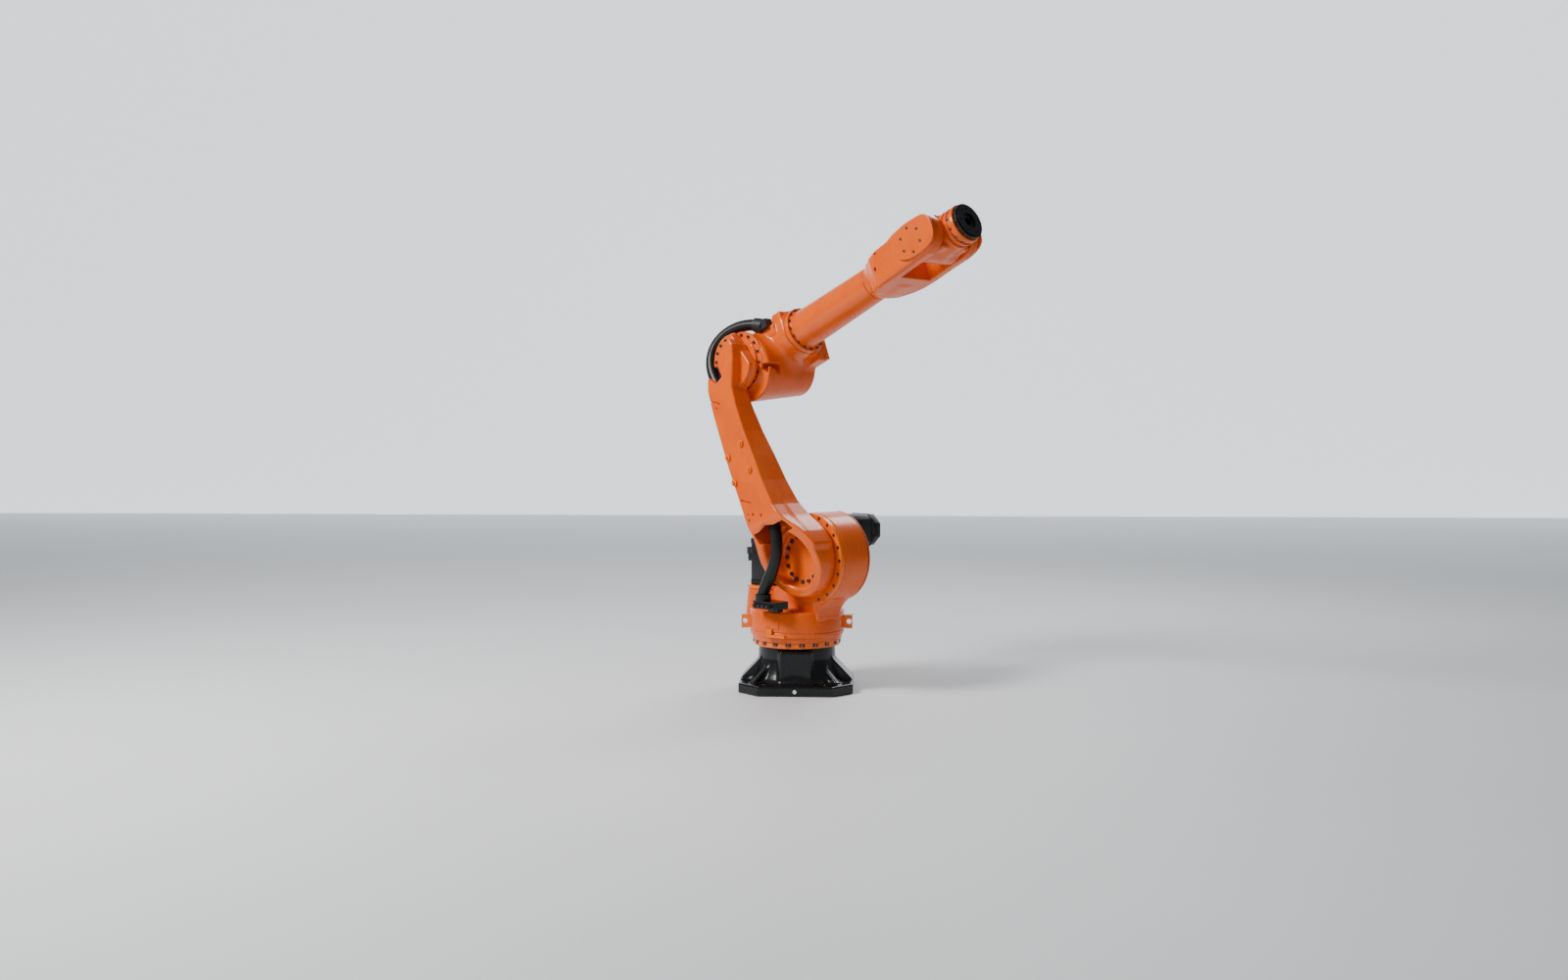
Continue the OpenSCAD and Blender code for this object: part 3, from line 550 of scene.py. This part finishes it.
# ---------------------------------------------------------------------------
# Base
# ---------------------------------------------------------------------------
FOOT_HALF, FOOT_CUT = 242, 86
ANCHORS = [(sx * a, sy * b) for sx in (-1, 1) for sy in (-1, 1) for a, b in ((205, 140), (140, 205))]


def cut_square(half, cut):
    """Square outline with its corners cut off."""
    return [(-half + cut, -half), (half - cut, -half), (half, -half + cut), (half, half - cut),
            (half - cut, half), (-half + cut, half), (-half, half - cut), (-half, -half + cut)]


def base_field(p):
    """Foot plate, flared neck, panels on four sides and webs out to the feet; open underneath."""
    foot = plate(p, "z", cut_square(FOOT_HALF, FOOT_CUT), 0, 42, 6)
    neck = rod(p, "z", (0, 0), (172, 164), 10, 190, 3)
    flare = rod(p, "z", (0, 0), (214, 158), 34, 122, 8)
    panel = block(p, (-196, -68, 30), (196, 68, 180), 10)
    wedge = plate(p, "x", [(-240, 30), (-236, 52), (-150, 142), (150, 142), (236, 52), (240, 30)], -74, 74, 8)
    body = either(either(neck, flare, 22), foot, 20)
    body = either(either(body, panel, 14), wedge, 10)
    for degrees in (45, -45):
        q = tilted(p, "z", degrees)
        side = [(-258, 30), (-256, 50), (-150, 126), (150, 126), (256, 50), (258, 30)]
        body = either(body, plate(q, "y", side, -11, 11, 5), 14)
    body = without(body, rod(p, "z", (0, 0), 149, -60, 140, 4), 4)
    body = without(body, rod(p, "z", (0, 0), 110.6, 60, 260, 1), 2)
    for x, y in ANCHORS:
        body = without(body, rod(p, "z", (x, y), 21, 39, 400, 1), 3)
        body = without(body, rod(p, "z", (x, y), 9, -50, 60, 1), 1)
    body = without(body, block(p, (-320, -71, 43), (-203.8, 71, 200), 1), 3)
    body = without(body, block(p, (-260, -52, 50), (-130, 52, 116), 2), 3)
    return without(body, rod(p, "x", (0, 21), 8.6, 234, 300, 1), 2)


def build_base():
    """The black floor casting."""
    step = 4.5
    piece = casting("base_casting", base_field, (-262, -262, 0), (262, 262, 190), step, IN_BASE, BLACK)
    finish_piece(piece, "base", "black_paint", "base_frame")


# ---------------------------------------------------------------------------
# Column
# ---------------------------------------------------------------------------
SEAT = (-150, -22)
DRUM_BACK = 72


def column_field(p):
    """Everything above the column's deck: pedestal, shoulder drum and the swing motor's boss."""
    drum = rod(p, "y", SHOULDER_AT, 190, -70, DRUM_BACK, 9)
    pedestal = block(p, (-60, -70, 300), (204, DRUM_BACK, 520), 22)
    heel = block(p, (-120, -40, 300), (0, DRUM_BACK, 430), 22)
    boss = rod(p, "z", SEAT, (108, 96), 300, 424, 6)
    deck = rod(p, "z", (0, 0), 190, 296, 331, 3)
    body = either(drum, pedestal, 60)
    body = either(either(body, heel, 40), boss, 30)
    body = either(body, deck, 16)
    pad = block(p, (-30, -100, 300), (96, -50, 352), 8)
    body = either(body, pad, 12)
    body = without(body, rod(p, "y", SHOULDER_AT, 128, -120, 0, 2), 3)
    body = without(body, rod(p, "y", SHOULDER_AT, 172, 20, 140, 2), 3)
    return without(body, rod(p, "z", SEAT, 80, 330, 500, 2), 3)


SKIRT = [
    (120, 214.4), (191, 214.4), (194, 217), (194, 229), (196, 233), (201, 238), (203, 243), (203, 255),
    (200.4, 256.5), (200.4, 260.5), (203, 262), (203, 336), (201, 342), (197, 345), (188, 345), (185, 342),
    (183, 330), (120, 330),
]


def column_point(degrees, radius, z):
    """Matrix of a place on the column's wall: X is tangent, Y is up and Z points out."""
    a = math.radians(degrees)
    out = Vector((math.cos(a), math.sin(a), 0))
    along = Vector((-math.sin(a), math.cos(a), 0))
    turn = Matrix((along, Vector((0, 0, 1)), out)).transposed().to_4x4()
    return IN_COLUMN @ Matrix.Translation((radius * out.x, radius * out.y, z)) @ turn


def build_column():
    """Turned skirt, the casting above it and the small pads on its wall."""
    skirt = turned("column_skirt", SKIRT, IN_COLUMN, "z", (0, 0, 0), ORANGE, bevel=1.2, sides=160)
    finish_piece(skirt, "column", "orange_paint", "column_frame")
    step = 4.5
    low, high = (-262, -122, 280), (368, 98, 770)
    upper = casting("column_casting", column_field, low, high, step, IN_COLUMN, ORANGE)
    finish_piece(upper, "column", "orange_paint")
    pads = []
    for shape, height, place, bevel in ((rounded_box(30, 36, 4), 2.6, (-69, 202, 292), 1),
                                        (ring_places(24, 8), 1.6, (-79, 202, 277), 0.6),
                                        (ring_places(24, 10), 2.2, (-14, 202, 300), 0.6)):
        pads.append(prism("pad", shape, -6, height, column_point(*place), "z", (0, 0, 0), ORANGE, bevel))
    finish_piece(joined("column_pads", pads), "column", "orange_paint")
    rims = []
    for degrees, z in ((-79, 277.6), (-14, 300.6)):
        place = column_point(degrees, 202.4, z)
        rims.append(turned("rim", [(2.5, 0), (6, 0.8), (7.5, 2.4)], place, "z", (0, 0, 0), STEEL, 0, 24))
    finish_piece(joined("column_wall_screws", rims), "column", "machined_steel")


def build_drum_cover():
    """Domed cover at the back of the drum, with the shoulder motor's boss."""
    dome = [(188, DRUM_BACK + 0.4), (189, 75), (188, 79), (182, 84.5), (172, 88), (0, 88)]
    boss = [(0, 80), (86, 80), (86, 84), (82, 90), (82, 97), (80, 100), (0, 100)]
    x, z = SHOULDER_AT
    pieces = [turned("cover", dome, IN_COLUMN, "y", (x, 0, z), ORANGE, 2, 128),
              turned("cover", boss, IN_COLUMN, "y", (x, 0, z + 105), ORANGE, 1.5, 96)]
    finish_piece(joined("drum_cover", pieces), "column", "orange_paint", "shoulder_drum_cover")


def rounded_box(width, height, radius, steps=5):
    """Outline of a rectangle with round corners, centred on the origin."""
    points = []
    for k, (sx, sy) in enumerate(((1, 1), (-1, 1), (-1, -1), (1, -1))):
        cx, cy = sx * (width / 2 - radius), sy * (height / 2 - radius)
        for n in range(steps + 1):
            a = math.radians(90 * k + 90 * n / steps)
            points.append((cx + radius * math.cos(a), cy + radius * math.sin(a)))
    return points


def servo_mesh(name, width, length, matrix, axis, at, flip=False):
    """Square servo motor: cut-cornered stator, a round joint and an eight-sided end."""
    h, cut = width / 2, width * 0.16
    square = [(-h + cut, -h), (h - cut, -h), (h, -h + cut), (h, h - cut), (h - cut, h), (-h + cut, h),
              (-h, h - cut), (-h, -h + cut)]
    inner = [(u * 0.975, v * 0.975) for u, v in square]
    end = ring_places(8, h * 1.02, 22.5)
    sign = -1 if flip else 1

    def part(points, low, high, bevel):
        low, high = sorted((sign * low, sign * high))
        return prism(name, points, low, high, matrix, axis, at, MOTOR, bevel)

    pieces = [part(square, 0, length * 0.08, 2.5), part(inner, length * 0.07, length * 0.66, 5),
              part(square, length * 0.64, length * 0.72, 2.5)]
    pieces.append(part(ring_places(48, h * 0.93), length * 0.68, length * 0.79, 1))
    pieces.append(part(end, length * 0.78, length, 4))
    return joined(name, pieces)


def build_motors():
    """The five motors that show."""
    x, z = SHOULDER_AT
    motor = servo_mesh("swing_motor_body", 142, 280, IN_COLUMN, "z", (*SEAT, 436))
    finish_piece(motor, "column", "motor_black", "swing_motor")
    motor = servo_mesh("shoulder_motor_body", 142, 167, IN_COLUMN, "y", (x, DRUM_BACK + 28.4, z + 105))
    finish_piece(motor, "column", "motor_black", "shoulder_motor")
    for name, y, up in (("roll_motor", -52, 34), ("wrist_motor", 52, 34), ("tool_motor", 0, -60)):
        motor = servo_mesh(name + "_body", 92, 116, IN_ROLL, "x", (-154.4, y, up), flip=True)
        finish_piece(motor, "elbow", "motor_black", name)


# ---------------------------------------------------------------------------
# Link arm
# ---------------------------------------------------------------------------
LINK_SHELL = [
    (168, 20), (150, 70), (101, 152), (68, 223), (44, 337), (31, 451), (13, 568), (5, 682), (9, 769),
    (36, 823), (62, 880), (79, 935), (72, 962), (34, 962), (14, 884), (-25, 840), (-85, 822), (-125, 866),
    (-147, 812), (-150, 699), (-146, 585), (-141, 458), (-129, 334), (-120, 222), (-112, 150), (-110, 20),
]
LINK_INNER = [(158, 10), (138, 66), (92, 140), (50, 215), (-40, 236), (-108, 190), (-100, 10)]
BOWL_MOUTH = [
    (-92, -60), (-95, 22), (-92, 76), (-74, 116), (-46, 144), (-16, 156), (14, 144), (48, 116), (84, 74),
    (106, 20), (100, -60),
]
REAR_SLOT = [
    (-30, 690), (-30, 716), (-70, 800), (-90, 880), (-90, 912), (-190, 912), (-190, 720), (-136, 690),
]
LINK_HOLES = [(-95, 735, 4), (-118, 722, 4), (-60, 222, 6), (-92, 207, 5), (-12, 202, 7), (-88, 232, 3.5)]


def link_field(p):
    """Hollow beam from the open shoulder bowl to the elbow disc, with a rear slot for the hose."""
    x, y, z = p
    beam = both(plate(p, "y", LINK_SHELL, -282, -112, 9), beyond(p, (0, -189, 740), (0, 0.9923, 0.123)), 9)
    hub = rod(p, "y", (0, 0), 160, -276, -90, 14)
    heel = plate(p, "y", LINK_INNER, -210, -112, 12)
    disc = rod(p, "y", (0, LINK_LENGTH), 118, -236, -192, 7)
    rim = rod(p, "y", (0, LINK_LENGTH), 126, -214, -192, 5)
    disc = both(either(disc, rim, 5), beyond(p, (84, 0, LINK_LENGTH), (0.93, 0, 0.36)), 6)
    body = either(either(beam, hub, 34), heel, 30)
    body = either(body, disc, 8)
    body = without(body, rod(p, "y", (0, LINK_LENGTH), 161, -191.5, -60, 2), 5)
    lean = math.radians(23)
    body = both(body, beyond(p, (0, -282, 172), (0, -math.cos(lean), -math.sin(lean))), 8)
    bowl = rod(p, "y", (0, 0), (128, 114), -400, -124, 20)
    bowl = either(bowl, plate(p, "y", BOWL_MOUTH, -400, -160, 12), 16)
    body = without(body, bowl, 16)
    hollow = both(both(beam + 12, -(z - 100), 4), z - 704, 4)
    hollow = both(hollow, slab(y, -269, -168), 6)
    body = without(body, hollow, 3)
    body = without(body, plate(p, "y", REAR_SLOT, -254, -196, 6), 5)
    for centre, low, high in (((-122, 753), (-150, -300, 749), (-98, -273, 757)),
                              ((-80, 285), (-116, -300, 281), (-52, -273, 289))):
        body = without(body, block(tilted(p, "y", -30, centre), low, high, 2), 1.5)
    for u, v, r in LINK_HOLES:
        body = without(body, rod(p, "y", (u, v), r, -300, -274, 1), 1)
    return body


def build_link():
    """The link arm casting."""
    step = 4
    piece = casting("link_casting", link_field, (-165, -283, -162), (180, -90, 1012), step, IN_LINK, ORANGE)
    finish_piece(piece, "link_arm", "orange_paint", "link_arm_frame")


# ---------------------------------------------------------------------------
# Elbow
# ---------------------------------------------------------------------------
def elbow_field(p):
    """Conical elbow barrel with a deep belly, grown together with the roll housing."""
    barrel = rod(p, "y", (0, 0), (124, 110), -164.6, 150, 8)
    belly = rod(p, "y", (14, -50), (131, 98), -164.6, 132, 10)
    rear = rod(p, "x", (0, ROLL_OFFSET), 100, -139.6, 110, 8)
    front = rod(p, "x", (0, ROLL_OFFSET), (116, 101), 70, 221.6, 4)
    crown = block(p, (158, -96, 30), (216, 96, 148), 10)
    body = either(barrel, belly, 40)
    body = either(either(body, rear, 26), front, 44)
    body = either(body, crown, 12)
    ledge = block(p, (92, -112, 60), (176, -40, 104), 5)
    body = either(body, ledge, 8)
    web = block(p, (118, 70, -70), (208, 128, 26), 8)
    body = either(body, web, 26)
    body = without(body, rod(p, "x", (0, ROLL_OFFSET), 86, -300, 400, 1), 4)
    body = without(body, rod(p, "y", (0, 0), 92, -300, 0, 1), 2)
    body = without(body, rod(p, "y", (0, 0), 92, 0, 300, 1), 3)
    pocket = plate(p, "y", [(90, -52), (146, -64), (122, -104)], -260, -92, 6)
    return without(body, pocket, 5)


def build_elbow():
    """Elbow casting, its flange ring and covers."""
    step = 4.5
    piece = casting("elbow_casting", elbow_field, (-150, -168, -190), (226, 154, 172), step, IN_ELBOW, ORANGE)
    finish_piece(piece, "elbow", "orange_paint", "elbow_housing")
    ring = [(70, -190), (104, -190), (106, -188), (106, -181), (109, -178), (128, -178), (130, -176),
            (130, -167), (128, -165.4), (70, -165.4)]
    piece = turned("elbow_ring", ring, IN_ELBOW, "y", (0, 0, 0), ORANGE, 1.2, 128)
    finish_piece(piece, "elbow", "orange_paint", "elbow_flange_ring")
    cover = [(0, 150.6), (103, 150.6), (105, 152), (105, 160), (101, 164), (76, 164), (72, 168), (72, 176),
             (66, 180), (0, 180)]
    piece = turned("elbow_cover", cover, IN_ELBOW, "y", (0, 0, 0), ORANGE, 1.2, 96)
    finish_piece(piece, "elbow", "orange_paint", "elbow_end_cover")


# ---------------------------------------------------------------------------
# Forearm and wrist
# ---------------------------------------------------------------------------
CROTCH_X = 896


def build_forearm():
    """Turned tube with its bolting flange."""
    tube = [(74, 224), (98, 224), (100, 226), (100, 243), (98, 246), (88, 247), (85, 250), (83.5, 256),
            (82, 275), (73.5, 672), (72.5, 688), (71, 689.4), (62, 689.4)]
    piece = turned("forearm_tube_body", tube, IN_ROLL, "x", (0, 0, 0), ORANGE, 1, 128)
    finish_piece(piece, "forearm", "orange_paint", "forearm_tube")


FORK_PLAN = [(690, -72), (720, -76), (752, -92), (786, -114), (826, -127), (870, -130), (1190, -130),
             (1190, 130), (870, 130), (826, 127), (786, 114), (752, 92), (720, 76), (690, 72)]


FORK_SIDE = [(726, -80), (760, -84), (900, -84), (1000, -80), (1073, -80), (1073, 80), (965, 80), (936, 75),
             (900, 64), (800, 60), (726, 58)]


def fork_field(p):
    """Neck that swells into two arms either side of the wrist."""
    x, y, z = p
    neck = rod(p, "x", (0, 0), (73, 76), 690.5, 830, 3)
    plan = outline(x, y, FORK_PLAN)
    side = either(plate(p, "y", FORK_SIDE, -300, 300, 6), rod(p, "y", (1073, 0), 80, -300, 300, 4), 0)
    arms = both(plan, side, 20)
    body = either(neck, arms, 26)
    body = both(body, -(x - 690.5), 2)
    body = without(body, block(p, (CROTCH_X, -82, -300), (1500, 82, 300), 2), 4)
    body = without(body, rod(p, "x", (0, 0), 60, 600, 850, 2), 2)
    body = without(body, rod(p, "y", (1035, 0), 40, -200, 200, 1), 2)
    for side_y in (-1, 1):
        body = without(body, rod(p, "y", (812, -10), 9, 96 * side_y - 40, 96 * side_y + 40, 1), 3)
        body = without(body, rod(p, "y", (836, 44), 6, 118 * side_y - 40, 118 * side_y + 40, 1), 2)
    notch = block(p, (700, -86, -100), (742, -46, -52), 3)
    return without(body, notch, 3)


CAP = [(-96, 0), (-88, 36), (-62, 60), (-24, 70), (34, 70), (84, 64), (110, 42), (118, 6), (110, -38),
       (76, -60), (20, -68), (-40, -62), (-80, -40)]


def smooth_loop(points, steps=6):
    """Closed curve through the points."""
    curve = []
    count = len(points)
    for k in range(count):
        a, b, c, d = (np.array(points[(k + n) % count], float) for n in (-1, 0, 1, 2))
        for n in range(steps):
            t = n / steps
            curve.append(tuple(0.5 * (2 * b + (c - a) * t + (2 * a - 5 * b + 4 * c - d) * t * t
                                      + (3 * b - a - 3 * c + d) * t ** 3)))
    return curve


def hand_field(p):
    """Round body between the fork's arms that grows into the tool neck."""
    x, y, z = p
    drum = rod(p, "y", (0, 0), 78, -80, 80, 8)
    neck = rod(p, "x", (0, 0), 77.5, 0, 110, 4)
    shoulders = block(p, (0, -76, -70), (92, 76, 70), 12)
    body = either(either(drum, neck, 8), shoulders, 6)
    body = both(body, slab(y, -80, 80), 6)
    body = either(body, rod(p, "y", (0, 0), 39, -126, 126, 2), 0)
    body = without(body, rod(p, "y", (0, 0), 24, -200, 200, 1), 1)
    return without(body, rod(p, "x", (0, 0), 54, 60, 300, 1), 1)


NOSE = [
    (54.4, 100), (77, 100), (78, 102), (78, 110), (76, 112), (72, 113), (70, 116), (70, 122), (73, 125),
    (77, 126), (78, 128), (78, 133), (76, 135), (71.5, 136), (71.5, 145), (75, 146.5), (77, 148), (77, 162),
    (75, 165.6), (54.4, 165.6),
]
RING_SCREW = [(0, 6), (4.8, 6), (4.8, 1), (4.6, -3.4), (2.4, -3), (2.4, 0), (0, 0)]


def build_wrist():
    """Fork, its side caps, and the tilting hand."""
    step = 4
    piece = casting("fork_casting", fork_field, (688, -132, -92), (1156, 132, 92), step, IN_ROLL, ORANGE)
    finish_piece(piece, "forearm", "orange_paint", "wrist_fork")
    cap = smooth_loop(CAP)
    for name, flip in (("right", 1), ("left", -1)):
        low, high = sorted((-flip * 130.4, -flip * 142))
        points = [(v, u) for u, v in cap]
        at = (FOREARM_LENGTH, 0, 0)
        piece = prism("fork_cap_" + name, points, low, high, IN_ROLL, "y", at, ORANGE, 3.5)
        finish_piece(piece, "forearm", "orange_paint", "fork_cover_" + name)
    low, high = (-80, -128, -80), (112, 128, 80)
    piece = casting("hand_casting", hand_field, low, high, step * 0.9, IN_WRIST, ORANGE)
    finish_piece(piece, "wrist", "orange_paint", "wrist_body")
    piece = turned("hand_rings", NOSE, IN_WRIST, "x", (0, 0, 0), ORANGE, 0.8, 128)
    finish_piece(piece, "wrist", "orange_paint")
    screws = []
    for u, v in ring_places(12, 72.5, 15):
        screws.append(turned("ring_screw", RING_SCREW, IN_WRIST, "x", (139, u, v), STEEL, 0.4, 20))
    finish_piece(joined("hand_ring_screws", screws), "wrist", "machined_steel")


# ---------------------------------------------------------------------------
# Hoses
# ---------------------------------------------------------------------------
def bezier(points, t):
    """Point of a cubic curve."""
    a, b, c, d = points
    return a * (1 - t) ** 3 + 3 * b * t * (1 - t) ** 2 + 3 * c * t * t * (1 - t) + d * t ** 3


def hose(name, controls, radius=25, sides=40, steps=90):
    """Round hose along a cubic curve in row-frame metres, with closed ends."""
    path = [bezier(controls, k / steps) for k in range(steps + 1)]
    points, faces = [], []
    side = None
    for k, centre in enumerate(path):
        along = (path[min(k + 1, steps)] - path[max(k - 1, 0)]).normalized()
        side = (side - along * side.dot(along)).normalized() if side else along.orthogonal().normalized()
        up = along.cross(side)
        for n in range(sides):
            a = 2 * math.pi * n / sides
            points.append(centre + (side * math.cos(a) + up * math.sin(a)) * radius * MM)
    for k in range(steps):
        for n in range(sides):
            m = (n + 1) % sides
            faces.append([k * sides + n, k * sides + m, (k + 1) * sides + m, (k + 1) * sides + n])
    faces += [list(range(sides))[::-1], list(range(steps * sides, (steps + 1) * sides))]
    piece = new_object(name, [tuple(v) for v in points], faces, Matrix.Identity(4), HOSE)
    piece.data.set_sharp_from_angle(angle=math.radians(50))
    return piece


def on(matrix, *point):
    """A point of a part's own frame, in the row frame."""
    return matrix @ Vector(point)


def build_hoses():
    """One supply hose in three stretches: into the bowl, through the beam, and over the elbow."""
    low = [on(IN_COLUMN, 31, -222, 412), on(IN_COLUMN, 31, -222, 470), on(IN_LINK, -12, -222, -15),
           on(IN_LINK, -12, -222, 185)]
    middle = [on(IN_LINK, -12, -222, 186), on(IN_LINK, -12, -222, 386), on(IN_LINK, -4, -222, 604),
              on(IN_LINK, -100, -222, 780)]
    high = [on(IN_LINK, -101, -222, 781), on(IN_LINK, -235, -238, 1010), on(IN_ELBOW, -62, -160, 222),
            on(IN_ELBOW, 92, -116, 134)]
    piece = hose("hose_low", low)
    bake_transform(piece)
    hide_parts("energy_hose_lower")
    finish_piece(hose("hose_middle", middle), "link_arm", "hose_rubber", "energy_hose_middle")
    piece = hose("hose_high", high)
    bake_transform(piece)
    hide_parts("energy_hose_upper")


def soften_kept_nodes():
    """Rounds the edges of the CAD pieces that stay."""
    for part in frame["record"]["subparts"]:
        kept = frame["nodes"][part["node"]]
        bevelled(kept, 0.6 if "bolts" in part["node"] else 1.2, 2, 40)


make_camera()
make_studio()
make_backdrop()
soften_kept_nodes()
build_base()
build_column()
build_drum_cover()
build_motors()
build_link()
build_elbow()
build_forearm()
build_wrist()
build_hoses()
